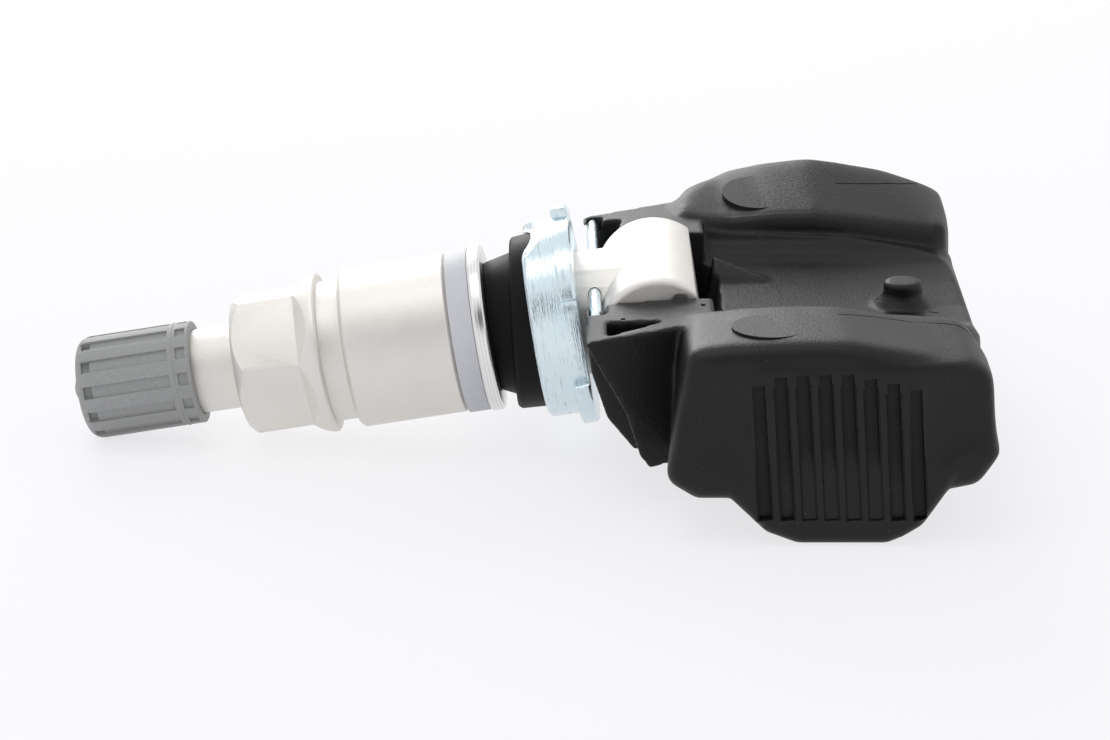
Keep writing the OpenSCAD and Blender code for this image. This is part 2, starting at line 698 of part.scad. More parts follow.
housing_shell();
base_cover();
valve_stem();
cross_pin();
clamp_collar();
rubber_grommet();
nut_washer();
slip_ring();
union_nut();
valve_cap();
cap_seal();
valve_core_body();
valve_core_sleeve();
valve_core_pin();
valve_core_seal();
valve_core_spring();
circuit_board();
coin_cell();
cell_tab_lower();
cell_tab_upper();
pressure_chip();
port_filter();
radio_antenna();
wake_coil_core();
wake_coil_winding();
quartz_crystal();
buffer_capacitor();
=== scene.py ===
import json
import math

import bmesh
import bpy
from mathutils import Matrix, Vector
from mathutils.bvhtree import BVHTree


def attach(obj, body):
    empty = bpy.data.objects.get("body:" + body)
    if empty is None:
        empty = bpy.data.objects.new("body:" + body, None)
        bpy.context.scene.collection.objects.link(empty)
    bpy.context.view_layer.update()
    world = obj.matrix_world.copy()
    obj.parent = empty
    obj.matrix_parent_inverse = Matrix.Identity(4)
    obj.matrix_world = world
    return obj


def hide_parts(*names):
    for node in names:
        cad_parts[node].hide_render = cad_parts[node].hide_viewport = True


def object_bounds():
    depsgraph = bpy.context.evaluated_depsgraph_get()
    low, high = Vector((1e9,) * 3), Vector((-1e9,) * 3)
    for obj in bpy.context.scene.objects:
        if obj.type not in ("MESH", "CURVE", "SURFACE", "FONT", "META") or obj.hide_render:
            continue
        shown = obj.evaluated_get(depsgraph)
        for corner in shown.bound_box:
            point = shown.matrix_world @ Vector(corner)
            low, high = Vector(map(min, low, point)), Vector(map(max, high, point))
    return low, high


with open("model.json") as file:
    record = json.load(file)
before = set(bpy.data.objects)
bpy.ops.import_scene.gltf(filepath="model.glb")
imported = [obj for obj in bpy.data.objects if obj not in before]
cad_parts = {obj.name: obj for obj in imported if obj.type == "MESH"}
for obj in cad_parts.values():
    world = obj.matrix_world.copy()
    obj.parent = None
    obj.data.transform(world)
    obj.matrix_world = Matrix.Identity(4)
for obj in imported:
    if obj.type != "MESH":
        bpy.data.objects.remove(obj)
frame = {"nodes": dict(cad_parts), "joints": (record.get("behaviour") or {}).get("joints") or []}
cad_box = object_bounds()

MM = 0.001

# Camera
# A 100 mm lens looks down at 22 degrees from the front, square to the long side of the part.
# Its optical axis passes a little behind the rim seat, which puts the part where the photograph has it.
LENS_MM = 100.5
LOOK_DOWN = math.radians(22)
DISTANCE = 284.4 * MM
LOOK_AT = Vector((3.73, 0, -4.61)) * MM

camera = bpy.data.objects.new("camera", bpy.data.cameras.new("camera"))
camera.data.lens = LENS_MM
camera.data.clip_start = 0.01
camera.location = LOOK_AT + DISTANCE * Vector((0, -math.cos(LOOK_DOWN), math.sin(LOOK_DOWN)))
camera.rotation_euler = (math.pi / 2 - LOOK_DOWN, 0, 0)
bpy.context.collection.objects.link(camera)
bpy.context.scene.camera = camera

# Valve stem
# Turned from aluminium bar with a cross head that turns in the saddle of the housing.
# It is blasted with fine glass beads, which leaves it pale, warm grey and without any gloss.
BEAD_DENT_MM = 0.18
CLOUD_MM = 2.5
STEM_EDGE_MM = 0.14
FLAT_WITHIN = math.radians(0.6)
SHARP_FROM_DEGREES = 32


def colour(hex_code):
    """An sRGB hex code as the linear colour that a shader takes."""
    parts = [int(hex_code[i:i + 2], 16) / 255 for i in (1, 3, 5)]
    return [p / 12.92 if p <= 0.04045 else ((p + 0.055) / 1.055) ** 2.4 for p in parts] + [1.0]


def add_node(owner, kind, inputs=None, **settings):
    """Adds one shader node. An input takes a value, a hex colour, or the node or output that feeds it."""
    made = owner.node_tree.nodes.new(kind)
    for key, value in settings.items():
        setattr(made, key, value)
    for key, value in (inputs or {}).items():
        if isinstance(value, bpy.types.Node):
            value = next(output for output in value.outputs if output.enabled)
        if isinstance(value, bpy.types.NodeSocket):
            owner.node_tree.links.new(value, made.inputs[key])
        else:
            made.inputs[key].default_value = colour(value) if isinstance(value, str) else value
    return made


def grain(size_mm):
    """The scale of a noise whose features are about one size."""
    return 1 / (size_mm * MM)


def new_material(name):
    """An empty node material, and the object coordinates in metres that its patterns read."""
    made = bpy.data.materials.new(name)
    made.use_nodes = True
    made.node_tree.nodes.clear()
    return made, add_node(made, "ShaderNodeTexCoord").outputs["Object"]


def smooth_shaded(mesh, sharp_from):
    """Smooth shading with the edges past an angle left sharp."""
    mesh.polygons.foreach_set("use_smooth", [True] * len(mesh.polygons))
    mesh.set_sharp_from_angle(angle=math.radians(sharp_from))


def piece_from(mesh, name, material, body, slot_name, *nodes):
    """A visible piece that rides on a body and stands for its CAD nodes."""
    made = bpy.data.objects.new(name, mesh)
    bpy.context.collection.objects.link(made)
    mesh.materials.clear()
    mesh.materials.append(material)
    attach(made, body)
    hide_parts(*nodes)
    return made


def merged_copy(node_name):
    """A bmesh of a CAD node with its loose triangles merged and its flat faces made whole."""
    work = bmesh.new()
    work.from_mesh(frame["nodes"][node_name].data)
    bmesh.ops.remove_doubles(work, verts=work.verts, dist=1e-6)
    bmesh.ops.dissolve_limit(work, angle_limit=FLAT_WITHIN, verts=work.verts, edges=work.edges)
    return work


def eased_copy(node_name, edge_mm, segments=2):
    """A CAD node's mesh with its sharp edges rounded over, as tumbling or a mould leaves them."""
    work = merged_copy(node_name)
    sharp_from = math.radians(SHARP_FROM_DEGREES)
    sharp = [e for e in work.edges if e.is_manifold and e.calc_face_angle(0) > sharp_from]
    bmesh.ops.bevel(work, geom=sharp, offset=edge_mm * MM, offset_type="OFFSET", affect="EDGES",
                    segments=segments, profile=0.5, material=-1, clamp_overlap=True)
    mesh = bpy.data.meshes.new(node_name)
    work.to_mesh(mesh)
    work.free()
    smooth_shaded(mesh, SHARP_FROM_DEGREES)
    return mesh


joints = {joint["name"]: joint for joint in frame["joints"]}
PIVOT = Vector(joints["housing_tilt"]["pos_m"])
VALVE_AXIS = Vector(joints["nut_travel"]["axis"]).normalized()
VALVE_FALL = math.atan2(-VALVE_AXIS.z, -VALVE_AXIS.x)

# Bead-blasted aluminium: overlapping dents that spread the light evenly. They are drawn about twice as
# coarse as the real ones, so that the grain shows.
blasted, place = new_material("bead_blasted_aluminium")
cloud = add_node(blasted, "ShaderNodeTexNoise", {"Vector": place, "Scale": grain(CLOUD_MM), "Detail": 3.0})
dents = add_node(blasted, "ShaderNodeTexNoise", {
    "Vector": place, "Scale": grain(BEAD_DENT_MM), "Detail": 3.0, "Roughness": 0.6})
tone = add_node(blasted, "ShaderNodeMix", {0: cloud, 6: "#DEDBD6", 7: "#E8E5E0"}, data_type="RGBA")
gloss = add_node(blasted, "ShaderNodeMapRange", {"Value": cloud, "To Min": 0.5, "To Max": 0.58})
relief = add_node(blasted, "ShaderNodeBump", {"Height": dents, "Distance": 0.04 * MM, "Strength": 0.6})
surface = add_node(blasted, "ShaderNodeBsdfPrincipled", {
    "Base Color": tone, "Metallic": 1.0, "Roughness": gloss, "Normal": relief})
add_node(blasted, "ShaderNodeOutputMaterial", {"Surface": surface})

piece_from(eased_copy("valve_stem", STEM_EDGE_MM), "stem_with_head", blasted, "valve", "stem_aluminium",
           "valve_stem")

# Clamp collar and cross pin
# Turned steel parts, plated with bright blue-passivated zinc. The collar is pressed on the stem behind
# the grommet, and the pin goes through the neck and limits the tilt.
ZINC_TOOL_LINE_MM = 0.16
ZINC_LINE_LENGTH_MM = 2.2
ZINC_TINT_MM = 3.5
COLLAR_EDGE_MM = 0.12
PIN_EDGE_MM = 0.05

# Blue zinc plate: lathe lines round the axis under a thin bright layer that shifts from white to pale cyan.
# Along the lathe lines the colour is painted darker and grey-blue, as a painted reflection of a dark
# surround.
zinc, place = new_material("blue_zinc_plated_steel")
along = add_node(zinc, "ShaderNodeMapping", {"Vector": place, "Rotation": (0, VALVE_FALL, 0)})
drawn_out = add_node(zinc, "ShaderNodeVectorMath", {0: along, 1: (
    grain(ZINC_TOOL_LINE_MM), grain(ZINC_LINE_LENGTH_MM), grain(ZINC_LINE_LENGTH_MM))}, operation="MULTIPLY")
lines = add_node(zinc, "ShaderNodeTexNoise", {
    "Vector": drawn_out, "Scale": 1.0, "Detail": 3.0, "Roughness": 0.65})
cloud = add_node(zinc, "ShaderNodeTexNoise", {"Vector": place, "Scale": grain(ZINC_TINT_MM), "Detail": 3.0})
tint = add_node(zinc, "ShaderNodeMix", {0: cloud, 6: "#CCE0E9", 7: "#E2ECF0"}, data_type="RGBA")
# Painted reflection: the lathe lines are darkened towards grey-blue, as if a dark room showed in them.
lathe_line_reflection = add_node(zinc, "ShaderNodeMapRange", {
    "Value": lines, "From Min": 0.3, "From Max": 0.42, "To Min": 0.6, "To Max": 0.0})
tone = add_node(zinc, "ShaderNodeMix", {0: lathe_line_reflection, 6: tint, 7: "#93A0A8"}, data_type="RGBA")
gloss = add_node(zinc, "ShaderNodeMapRange", {"Value": lines, "To Min": 0.28, "To Max": 0.12})
relief = add_node(zinc, "ShaderNodeBump", {"Height": lines, "Distance": 0.07 * MM, "Strength": 0.9})
surface = add_node(zinc, "ShaderNodeBsdfPrincipled", {
    "Base Color": tone, "Metallic": 1.0, "Roughness": gloss, "Normal": relief})
add_node(zinc, "ShaderNodeOutputMaterial", {"Surface": surface})

piece_from(eased_copy("clamp_collar", COLLAR_EDGE_MM), "zinc_collar", zinc, "valve", "zinc_steel",
           "clamp_collar")
piece_from(eased_copy("cross_pin", PIN_EDGE_MM), "tilt_pin", zinc, "valve", "zinc_steel", "cross_pin")

# Grommet
# Compression-moulded rubber with a ring in the collar's cup and a cone that plugs the rim hole.
# Its seat leans a few degrees, so that the cone meets a rim face that isn't square to the valve.
GROMMET_EDGE_MM = 0.12
SEAT_LEAN = 0.105
BLOOM_MM = 1.2
RUBBER_SKIN_MM = 0.2

# Moulded rubber: near black and half dull, with a faint grey bloom where it has been handled.
rubber, place = new_material("moulded_rubber")
bloom = add_node(rubber, "ShaderNodeTexNoise", {"Vector": place, "Scale": grain(BLOOM_MM), "Detail": 3.0})
skin = add_node(rubber, "ShaderNodeTexNoise", {
    "Vector": place, "Scale": grain(RUBBER_SKIN_MM), "Detail": 2.0})
tone = add_node(rubber, "ShaderNodeMix", {0: bloom, 6: "#09090B", 7: "#111113"}, data_type="RGBA")
gloss = add_node(rubber, "ShaderNodeMapRange", {"Value": bloom, "To Min": 0.44, "To Max": 0.58})
relief = add_node(rubber, "ShaderNodeBump", {"Height": skin, "Distance": 0.015 * MM, "Strength": 0.5})
surface = add_node(rubber, "ShaderNodeBsdfPrincipled", {
    "Base Color": tone, "Roughness": gloss, "Specular IOR Level": 0.14, "Normal": relief})
add_node(rubber, "ShaderNodeOutputMaterial", {"Surface": surface})

grommet_mesh = eased_copy("rubber_grommet", GROMMET_EDGE_MM)
stations = [(vert.co - PIVOT).dot(VALVE_AXIS) for vert in grommet_mesh.vertices]
seat_at = -PIVOT.dot(VALVE_AXIS)
cone_end, ring_start = max(stations), min(stations)
for vert, station in zip(grommet_mesh.vertices, stations):
    height = (vert.co - PIVOT - station * VALVE_AXIS).z
    end = cone_end if station > seat_at else ring_start
    share = max(0.0, 1 - abs(station - seat_at) / abs(end - seat_at))
    vert.co -= VALVE_AXIS * (SEAT_LEAN * height * share)
piece_from(grommet_mesh, "rim_grommet", rubber, "valve", "black_rubber", "rubber_grommet")

# Loose washer
# Faced and turned from bright aluminium bar. It is left as it comes from the lathe, so it shows the
# feed lines of the tool round its rim.
TURN_PITCH_MM = 0.3
TURN_CLOUD_MM = 1.5
WASHER_EDGE_MM = 0.08


def wave_scale(pitch_mm):
    """The scale at which a wave texture repeats once in every pitch."""
    return 2 * math.pi / 20 / (pitch_mm * MM)


# Turned aluminium: a bright metal with even rings, as far apart as the tool moved in a turn.
turned, place = new_material("turned_aluminium")
along = add_node(turned, "ShaderNodeMapping", {"Vector": place, "Rotation": (0, VALVE_FALL, 0)})
rings = add_node(turned, "ShaderNodeTexWave", {
    "Vector": along, "Scale": wave_scale(TURN_PITCH_MM), "Distortion": 0.4, "Detail": 1.0},
    wave_type="BANDS", bands_direction="X")
cloud = add_node(turned, "ShaderNodeTexNoise", {
    "Vector": place, "Scale": grain(TURN_CLOUD_MM), "Detail": 2.0})
tone = add_node(turned, "ShaderNodeMix", {0: rings, 6: "#DCDBDB", 7: "#E9E8E6"}, data_type="RGBA")
gloss = add_node(turned, "ShaderNodeMapRange", {"Value": cloud, "To Min": 0.2, "To Max": 0.32})
relief = add_node(turned, "ShaderNodeBump", {"Height": rings, "Distance": 0.012 * MM, "Strength": 0.4})
surface = add_node(turned, "ShaderNodeBsdfPrincipled", {
    "Base Color": tone, "Metallic": 1.0, "Roughness": gloss, "Normal": relief})
add_node(turned, "ShaderNodeOutputMaterial", {"Surface": surface})

piece_from(eased_copy("nut_washer", WASHER_EDGE_MM), "turned_washer", turned, "valve", "bright_aluminium",
           "nut_washer")

# Slip ring
# A ring turned from grey acetal. It sits in the back of the nut and lets it turn without dragging
# the washer round.
SLIP_EDGE_MM = 0.06
ACETAL_CLOUD_MM = 1.0
ACETAL_SKIN_MM = 0.1

# Grey acetal: a dense, slightly bluish plastic with a low sheen and hardly any texture.
acetal, place = new_material("grey_acetal")
cloud = add_node(acetal, "ShaderNodeTexNoise", {
    "Vector": place, "Scale": grain(ACETAL_CLOUD_MM), "Detail": 2.0})
skin = add_node(acetal, "ShaderNodeTexNoise", {
    "Vector": place, "Scale": grain(ACETAL_SKIN_MM), "Detail": 2.0})
tone = add_node(acetal, "ShaderNodeMix", {0: cloud, 6: "#CDCED4", 7: "#D8D9DC"}, data_type="RGBA")
relief = add_node(acetal, "ShaderNodeBump", {"Height": skin, "Distance": 0.008 * MM, "Strength": 0.4})
surface = add_node(acetal, "ShaderNodeBsdfPrincipled", {
    "Base Color": tone, "Roughness": 0.5, "Specular IOR Level": 0.35, "Normal": relief})
add_node(acetal, "ShaderNodeOutputMaterial", {"Surface": surface})

piece_from(eased_copy("slip_ring", SLIP_EDGE_MM), "nut_slip_ring", acetal, "slip_ring", "grey_ring",
           "slip_ring")

# Union nut
# Turned from aluminium bar, with six flats milled on its front half, and blasted like the stem.
# Its thread pulls the stem, the collar and the grommet against the rim.
NUT_EDGE_MM = 0.09
NUT_EDGE_STEPS = 3
piece_from(eased_copy("union_nut", NUT_EDGE_MM, NUT_EDGE_STEPS), "long_union_nut", blasted, "union_nut",
           "nut_aluminium", "union_nut")

# Valve core
# The insert that holds the air: a brass body and sleeve turned from rod, a plastic barrel seal, and a
# sprung steel pin. It is screwed into the tip of the stem and hidden by the cap.
CORE_TOOL_LINE_MM = 0.12
TARNISH_MM = 0.8
OIL_FILM_MM = 0.25
POLYMER_FIBRE_MM = 0.15


def dress(node_name, material):
    """Gives a CAD node that keeps its own shape a better material."""
    for material_slot in frame["nodes"][node_name].material_slots:
        material_slot.material = material


# Turned brass: warm yellow and bright, with fine lathe lines that spread the light along the axis.
brass, place = new_material("turned_brass")
along = add_node(brass, "ShaderNodeMapping", {"Vector": place, "Rotation": (0, VALVE_FALL, 0)})
rings = add_node(brass, "ShaderNodeTexWave", {
    "Vector": along, "Scale": wave_scale(CORE_TOOL_LINE_MM), "Distortion": 0.5},
    wave_type="BANDS", bands_direction="X")
tarnish = add_node(brass, "ShaderNodeTexNoise", {"Vector": place, "Scale": grain(TARNISH_MM), "Detail": 3.0})
tone = add_node(brass, "ShaderNodeMix", {0: tarnish, 6: "#C79B4B", 7: "#E3C27C"}, data_type="RGBA")
gloss = add_node(brass, "ShaderNodeMapRange", {"Value": tarnish, "To Min": 0.34, "To Max": 0.22})
relief = add_node(brass, "ShaderNodeBump", {"Height": rings, "Distance": 0.01 * MM, "Strength": 0.5})
surface = add_node(brass, "ShaderNodeBsdfPrincipled", {
    "Base Color": tone, "Metallic": 1.0, "Roughness": gloss, "Normal": relief})
add_node(brass, "ShaderNodeOutputMaterial", {"Surface": surface})

# Drawn spring steel: hard bright wire with faint die lines and a trace of oil.
wire, place = new_material("drawn_spring_steel")
film = add_node(wire, "ShaderNodeTexNoise", {"Vector": place, "Scale": grain(OIL_FILM_MM), "Detail": 3.0})
tone = add_node(wire, "ShaderNodeMix", {0: film, 6: "#A9ACB0", 7: "#C6C8CA"}, data_type="RGBA")
gloss = add_node(wire, "ShaderNodeMapRange", {"Value": film, "To Min": 0.2, "To Max": 0.36})
surface = add_node(wire, "ShaderNodeBsdfPrincipled", {
    "Base Color": tone, "Metallic": 1.0, "Roughness": gloss})
add_node(wire, "ShaderNodeOutputMaterial", {"Surface": surface})

# Moulded fluoropolymer: waxy white, slightly see-through at its edges, with a soft sheen.
polymer, place = new_material("white_fluoropolymer")
fibres = add_node(polymer, "ShaderNodeTexNoise", {
    "Vector": place, "Scale": grain(POLYMER_FIBRE_MM), "Detail": 4.0})
tone = add_node(polymer, "ShaderNodeMix", {0: fibres, 6: "#DCDDDC", 7: "#EFEFEC"}, data_type="RGBA")
relief = add_node(polymer, "ShaderNodeBump", {"Height": fibres, "Distance": 0.01 * MM, "Strength": 0.6})
surface = add_node(polymer, "ShaderNodeBsdfPrincipled", {
    "Base Color": tone, "Roughness": 0.5, "Subsurface Weight": 0.1, "Subsurface Scale": 0.3 * MM,
    "Normal": relief})
add_node(polymer, "ShaderNodeOutputMaterial", {"Surface": surface})

dress("valve_core_body", brass)
dress("valve_core_sleeve", brass)
dress("valve_core_pin", wire)
dress("valve_core_spring", wire)
dress("valve_core_seal", polymer)

# Dust cap
# Injection moulded from grey nylon with twelve grip grooves, and a rubber seal inside its crown.
# It screws on the tip of the stem.
CAP_EDGE_MM = 0.07
CAP_SPARK_MM = 0.2
CAP_FLOW_MM = 3

# Grey nylon: matte, with the fine pits of a spark-eroded mould and small lighter flecks of filler.
grey_nylon, place = new_material("grey_filled_nylon")
flecks = add_node(grey_nylon, "ShaderNodeTexNoise", {
    "Vector": place, "Scale": grain(CAP_SPARK_MM), "Detail": 4.0, "Roughness": 0.7})
flow = add_node(grey_nylon, "ShaderNodeTexNoise", {
    "Vector": place, "Scale": grain(CAP_FLOW_MM), "Detail": 2.0})
tone = add_node(grey_nylon, "ShaderNodeMix", {0: flecks, 6: "#8A8B8B", 7: "#B0B1B0"}, data_type="RGBA")
gloss = add_node(grey_nylon, "ShaderNodeMapRange", {"Value": flow, "To Min": 0.5, "To Max": 0.62})
relief = add_node(grey_nylon, "ShaderNodeBump", {"Height": flecks, "Distance": 0.03 * MM, "Strength": 0.5})
surface = add_node(grey_nylon, "ShaderNodeBsdfPrincipled", {
    "Base Color": tone, "Roughness": gloss, "Specular IOR Level": 0.35, "Normal": relief})
add_node(grey_nylon, "ShaderNodeOutputMaterial", {"Surface": surface})

piece_from(eased_copy("valve_cap", CAP_EDGE_MM), "dust_cap", grey_nylon, "valve_cap", "grey_plastic",
           "valve_cap")
dress("cap_seal", rubber)

# Housing
# One moulding of black glass-filled nylon: two lobes, the valley with its peg between them, and two
# ears that hold the head of the stem. Its edges are soft, and its lobes show ejector marks.
VOXEL_MM = 0.21
SOFTEN_ROUNDS = 5
KEPT_SHARE = 0.5
HOUSING_SHARP_FROM_DEGREES = 38
NYLON_SPARK_MM = 0.26
NYLON_FLOW_MM = 6
NYLON_DUST_MM = 0.45
LOBE_SOFTNESS_MM = 1.0

# Cooling slots: eight in each lobe, given as heights and distances from the middle of the cross head.
# The outer ones are deep down to their feet, and the middle ones get shallow.
SLOT_PITCH_MM, SLOT_WIDTH_MM, SLOT_LEAN = 1.88, 1.05, math.radians(-4.4)
SLOT_CENTRE_MM = (14.5, -4.2)
SLOT_SHIFT_MM = 0.3
SLOT_TOP_DROPS_MM = [1.0, 0.25, 0.1, 0, 0, 0.4, 0.8, 1.4]
SLOT_TOP_MM = [(25.6, 7.2), (24.3, 6.9), (23.8, 6.2), (23.45, 5.2), (23.3, 4)]
DEEP_FOOT_MM = [(23.3, -5), (23.6, -6.4), (25.6, -6.4)]
HALF_FOOT_MM = [(23.3, -1), (23.95, -3.8), (24.0, -6.4), (25.6, -6.4)]
SHALLOW_FOOT_MM = [(23.4, 0), (24.3, -1.9), (24.35, -6.4), (25.6, -6.4)]
SLOT_FEET_MM = [DEEP_FOOT_MM, HALF_FOOT_MM, *[SHALLOW_FOOT_MM] * 4, HALF_FOOT_MM, DEEP_FOOT_MM]
CHAMFER_FROM_MM, CHAMFER_TO_MM, CHAMFER_WIDTH_MM = 24.35, 25.1, 0.95
FLARE_BEYOND_MM = 24.8
CHAMFER_FLARE = 1 + 2 * (CHAMFER_TO_MM - CHAMFER_FROM_MM) / CHAMFER_WIDTH_MM
SLOT_FILL_MM = [(24.58, 5.7), (24.5, 6.1), (24.35, 6.5), (24.18, 6.8), (24.18, 7.0), (22.9, 7.0),
                (22.9, -6.7), (24.58, -6.7)]
FILL_OVERLAP_MM = 0.1

# Marks of the mould: two ejector discs, and lines and nicks given by their radius and their points.
EJECTOR_MARKS_MM = [(9.0, -18.9), (10.0, 17.0)]
EJECTOR_RADIUS_MM = 3.3
EJECTOR_STEP_MM = 0.12
EJECTOR_REACH = 0.9
EJECTOR_TAPER_MM = 0.06
SCORES_MM = [(0.1, [(15.1, -15.6), (18.0, -14.9), (20.9, -14.5), (23.6, -14.4), (25.4, -14.7), (26.2, -15.4),
                    (26.6, -16.6)]),
             (0.1, [(17.7, 18.4), (19.7, 18.8), (21.7, 19.3), (24.0, 20.2), (25.9, 21.6)]),
             (0.12, [(24.6, -1.9), (25.5, -2.25)]),
             (0.3, [(3.6, -10.4), (5.0, -10.2)]),
             (0.22, [(-3.5, -12.65), (-3.1, -12.65)])]
SCORE_LIFT_MM = 0.02

# Slight changes of form. Each pair of numbers is where a change starts and where it is in full, along
# the part, across it or in height.
CORNER_LIFT = 0.22
CORNER_FROM_MM = 20.5
CORNER_SIDE_MM = (10, 12.5)
SHELL_LIFT_MM = (-3, -7)
LOBE_FRONT_MM = (1.2, 3)
LOBE_FOOT_MM = (-8, -5)
NEAR_SOFT_FROM_MM, FAR_SOFT_FROM_MM = 11.5, 14.5
REAR_GROWTH_MM, REAR_END_MM = 1.15, 28.4
REAR_ALONG_MM, REAR_HEIGHT_MM, REAR_SIDE_MM = (19, 27.2), (-7, -3), (-13, -9)
FLOOR_RISE_MM = 0.9
FLOOR_SIDE_MM, FLOOR_ALONG_MM = (4.5, 10), (3, 5)
FLOOR_FOOT_MM, FLOOR_TOP_MM = (-1.2, -0.6), (3.5, 2.5)
CREST_SIDE_MM, CREST_HEIGHT_MM, CREST_ACROSS_MM = (11, 13), (-2, 1.5), (13, 21)
CREST_OUTER_MM = [(1.5, 0.2), (3, 0.75), (6.4, -0.5), (10.4, -0.15), (15.2, 0.4), (18.8, 0.55), (22.5, 0.85),
                  (26.3, 1.1)]
CREST_INNER_MM = [(3, 0.0), (7.5, -0.6), (14.4, -0.4), (18.5, -0.15), (21.1, 0.0), (25.3, 0.25), (27.0, 0.8)]


def from_pivot(x_mm, y_mm, z_mm):
    """A place given in mm from the middle of the cross head."""
    return PIVOT + Vector((x_mm, y_mm, z_mm)) * MM


def solid(work, name):
    """A closed bmesh as an object that a modifier can use, with its faces turned outwards."""
    bmesh.ops.remove_doubles(work, verts=work.verts, dist=1e-7)
    bmesh.ops.recalc_face_normals(work, faces=work.faces)
    mesh = bpy.data.meshes.new(name)
    work.to_mesh(mesh)
    work.free()
    made = bpy.data.objects.new(name, mesh)
    bpy.context.collection.objects.link(made)
    return made


def prism(work, outline, depth):
    """Adds a prism to a bmesh: an outline of points, drawn out by a vector."""
    face = work.faces.new([work.verts.new(point) for point in outline])
    grown = bmesh.ops.extrude_face_region(work, geom=[face])["geom"]
    bmesh.ops.translate(work, verts=[v for v in grown if isinstance(v, bmesh.types.BMVert)], vec=depth)


def over_slots(side, shift_mm, width_mm, profiles, flare=1.0):
    """One prism for each cooling slot of a lobe, at the slots' lean. Flare widens its outer end."""
    work = bmesh.new()
    for i, profile in enumerate(profiles):
        one = bmesh.new()
        prism(one, [Vector((-width_mm / 2, side * y, z)) * MM for y, z in profile], (width_mm * MM, 0, 0))
        for vert in one.verts:
            if abs(vert.co.y) > FLARE_BEYOND_MM * MM:
                vert.co.x *= flare
        bmesh.ops.rotate(one, verts=one.verts, cent=(0, 0, 0), matrix=Matrix.Rotation(SLOT_LEAN, 3, "Y"))
        along_mm = SLOT_CENTRE_MM[0] + shift_mm + (i - (len(profiles) - 1) / 2) * SLOT_PITCH_MM
        bmesh.ops.translate(one, verts=one.verts, vec=from_pivot(along_mm, 0, SLOT_CENTRE_MM[1]))
        part = bpy.data.meshes.new("slot")
        one.to_mesh(part)
        one.free()
        work.from_mesh(part)
        bpy.data.meshes.remove(part)
    return work


def ramp(value, start, end):
    """0 before the start, 1 past the end and straight between them."""
    return min(max((value - start) / (end - start), 0.0), 1.0)


def along_curve(knots, x):
    """The value of a curve of straight pieces at a place."""
    for (x0, value0), (x1, value1) in zip(knots, knots[1:]):
        if x < x1:
            return value0 + (value1 - value0) * ramp(x, x0, x1)
    return knots[-1][1]


def lift_corner(verts, start_mm, end_mm):
    """Raises the lower rear corners of both lobes, from one height down to another."""
    for vert in verts:
        x, y, z = (vert.co - PIVOT) / MM
        rise = CORNER_LIFT * max(0.0, x - CORNER_FROM_MM) * ramp(z, start_mm, end_mm)
        vert.co.z += rise * ramp(abs(y), *CORNER_SIDE_MM) * MM


def combine(body_object, cutter, operation):
    """Adds a closed solid to an object's mesh, or cuts it out, for good."""
    knife = body_object.modifiers.new("cut", "BOOLEAN")
    knife.operation = operation
    knife.solver = "EXACT"
    knife.object = cutter
    cut_mesh = bpy.data.meshes.new_from_object(
        body_object.evaluated_get(bpy.context.evaluated_depsgraph_get()))
    body_object.modifiers.clear()
    body_object.data = cut_mesh
    bpy.data.objects.remove(cutter)


# The slots are filled first, so that their edges aren't lost when the outside is softened.
softened = merged_copy("housing_shell")
for side in (-1, 1):
    filling = over_slots(side, 0, SLOT_WIDTH_MM + FILL_OVERLAP_MM, [SLOT_FILL_MM] * len(SLOT_FEET_MM))
    fill_object = solid(filling, "slot_fill")
    softened.from_mesh(fill_object.data)
    bpy.data.objects.remove(fill_object)
shell_mesh = bpy.data.meshes.new("shell")
softened.to_mesh(shell_mesh)
softened.free()
shell = bpy.data.objects.new("shell", shell_mesh)
bpy.context.collection.objects.link(shell)
cubes = shell.modifiers.new("cubes", "REMESH")
cubes.mode = "VOXEL"
cubes.voxel_size = VOXEL_MM * MM
relax = shell.modifiers.new("relax", "SMOOTH")
relax.factor = 0.5
relax.iterations = SOFTEN_ROUNDS
shell.data = bpy.data.meshes.new_from_object(shell.evaluated_get(bpy.context.evaluated_depsgraph_get()))
shell.modifiers.clear()

# The lobes are softer than the ears and the saddle. The far one has a rounder crest, and the valley
# rises more towards the near one and ends further out. The lower rear corners are cut back.
lobes = shell.vertex_groups.new(name="lobes")
for vert in shell.data.vertices:
    x, y, z = (vert.co - PIVOT) / MM
    inner = FAR_SOFT_FROM_MM if y > 0 else NEAR_SOFT_FROM_MM
    softness = ramp(x, *LOBE_FRONT_MM) * ramp(abs(y), inner, inner + 1) * ramp(z, *LOBE_FOOT_MM)
    lobes.add([vert.index], softness, "REPLACE")
    grown = x + REAR_GROWTH_MM * ramp(x, *REAR_ALONG_MM) * ramp(z, *REAR_HEIGHT_MM) * ramp(y, *REAR_SIDE_MM)
    vert.co.x += (max(x, min(grown, REAR_END_MM)) - x) * MM
    vert.co.z += (FLOOR_RISE_MM * MM * ramp(-y, *FLOOR_SIDE_MM) * ramp(x, *FLOOR_ALONG_MM)
                  * ramp(z, *FLOOR_FOOT_MM) * ramp(z, *FLOOR_TOP_MM))
    crown = along_curve(CREST_INNER_MM, x) + ramp(y, *CREST_ACROSS_MM) * (
        along_curve(CREST_OUTER_MM, x) - along_curve(CREST_INNER_MM, x))
    vert.co.z += crown * MM * ramp(x, *LOBE_FRONT_MM) * ramp(y, *CREST_SIDE_MM) * ramp(z, *CREST_HEIGHT_MM)
lift_corner(shell.data.vertices, *SHELL_LIFT_MM)
relax = shell.modifiers.new("relax_lobes", "SMOOTH")
relax.factor = 0.5
relax.iterations = round((2 * LOBE_SOFTNESS_MM / VOXEL_MM) ** 2)
relax.vertex_group = "lobes"
thin = shell.modifiers.new("thin", "DECIMATE")
thin.ratio = KEPT_SHARE
shell.data = bpy.data.meshes.new_from_object(shell.evaluated_get(bpy.context.evaluated_depsgraph_get()))
shell.modifiers.clear()
shell.vertex_groups.clear()

